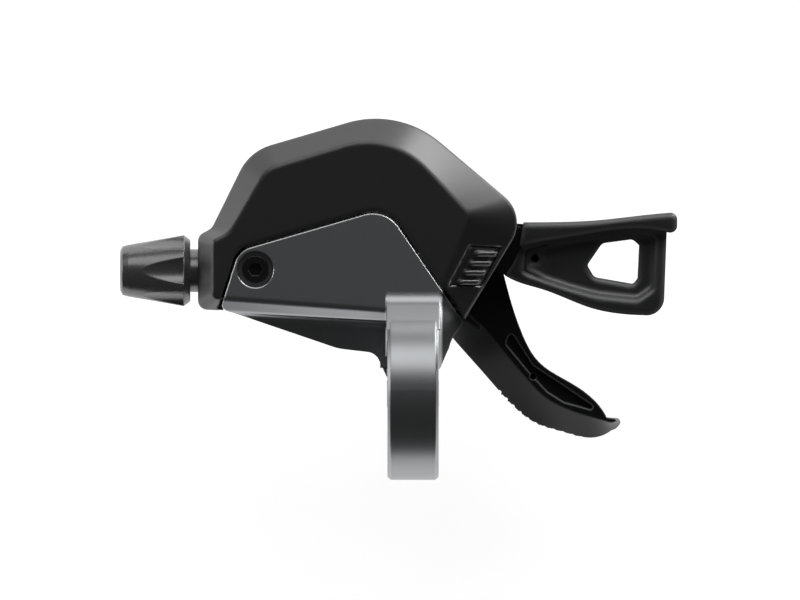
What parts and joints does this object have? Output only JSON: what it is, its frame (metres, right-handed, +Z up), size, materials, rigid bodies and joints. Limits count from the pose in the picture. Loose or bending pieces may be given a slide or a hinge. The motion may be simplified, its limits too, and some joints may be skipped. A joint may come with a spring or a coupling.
{
  "type": "trigger gear shifter",
  "caption": "Right-hand trigger gear shifter with a bar clamp ring, a smooth bevelled cover, thumb and finger levers and a fluted cable adjuster.",
  "frame": {"origin": "centre of the handlebar bore, midway along the clamp ring", "axes": "+X along the handlebar towards the levers, +Y forward, +Z up out of the flat top of the cover, parallel to the lever axle"},
  "size_m": [0.0893, 0.0578, 0.0404],
  "materials": {
    "cast_aluminium": "fine satin dark paint on cast aluminium",
    "black_screws": "black coated steel",
    "cover_plastic": "satin dark grey moulded plastic",
    "lever_plastic": "satin black moulded plastic",
    "knob_plastic": "satin grey moulded plastic",
    "steel": "zinc plated pressed steel",
    "bright_metal": "turned metal",
    "drum_plastic": "black moulded acetal"
  },
  "bodies": {
    "bracket_body": {"bracket": "cast_aluminium", "clamp_bolt": "black_screws", "bracket_screw": "black_screws", "upper_cover": "cover_plastic", "lower_cover": "cover_plastic", "cover_screws": "black_screws", "upper_base_plate": "steel", "lower_base_plate": "steel", "plate_pillars": "steel", "main_axle": "steel", "axle_nut": "steel", "axle_washers": "steel", "hold_pawl_pin": "steel", "adjuster_bush": "bright_metal", "drum_spring": "steel", "main_return_spring": "steel"},
    "hole_cap": {"cable_hole_cap": "cover_plastic"},
    "drum": {"cable_drum": "drum_plastic", "index_wheel": "steel", "feed_wheel": "steel"},
    "holding_pawl": {"hold_pawl": "steel"},
    "main_lever": {"main_arm": "black_screws", "main_pad": "lever_plastic", "drive_sleeve": "steel", "pawl_carrier": "steel", "feed_pawl_pin": "steel"},
    "pushing_pawl": {"feed_pawl": "steel"},
    "release_lever": {"release_arm": "black_screws", "release_pad": "lever_plastic"},
    "click_ring": {"detent_ring": "knob_plastic"},
    "adjuster": {"adjuster_knob": "knob_plastic", "adjuster_bolt": "bright_metal"}
  },
  "joints": [
    {"name": "main_lever_turn", "type": "hinge", "parent": "bracket_body", "child": "main_lever", "pos_m": [-0.0045, 0.0298, -0.01], "axis": [0, 0, 1], "range_deg": [0, 45], "stiffness_Nm_per_rad": 0.03, "springref_deg": -22.92},
    {"name": "pushing_pawl_turn", "type": "hinge", "parent": "main_lever", "child": "pushing_pawl", "pos_m": [-0.00885, 0.01904, -0.0076], "axis": [0, 0, 1], "range_deg": [0, 11]},
    {"name": "release_turn", "type": "hinge", "parent": "bracket_body", "child": "release_lever", "pos_m": [-0.0045, 0.0298, -0.01], "axis": [0, 0, 1], "range_deg": [-12, 0], "stiffness_Nm_per_rad": 0.04, "springref_deg": 22.92},
    {"name": "holding_pawl_turn", "type": "hinge", "parent": "bracket_body", "child": "holding_pawl", "pos_m": [-0.01867, 0.03079, -0.0062], "axis": [0, 0, 1], "range_deg": [-9.6, 0]},
    {"name": "drum_turn", "type": "hinge", "parent": "bracket_body", "child": "drum", "pos_m": [-0.0045, 0.0298, -0.01], "axis": [0, 0, 1], "range_deg": [0, 150]},
    {"name": "adjuster_travel", "type": "slide", "parent": "bracket_body", "child": "click_ring", "axis": [-1, 0, 0], "range_m": [0, 0.0016]},
    {"name": "adjuster_turn", "type": "hinge", "parent": "click_ring", "child": "adjuster", "pos_m": [-0.04, 0.0191, -0.0036], "axis": [-1, 0, 0], "range_deg": [0, 720]},
    {"name": "hole_cap_pull", "type": "slide", "parent": "bracket_body", "child": "hole_cap", "axis": [0.4489, -0.231, 0.8632], "range_m": [0, 0.006]}
  ],
  "couplings": [
    {"joint": "holding_pawl_turn", "follows": "release_turn", "ratio": 0.8},
    {"joint": "adjuster_turn", "follows": "adjuster_travel", "rad_per_m": 7854}
  ]
}
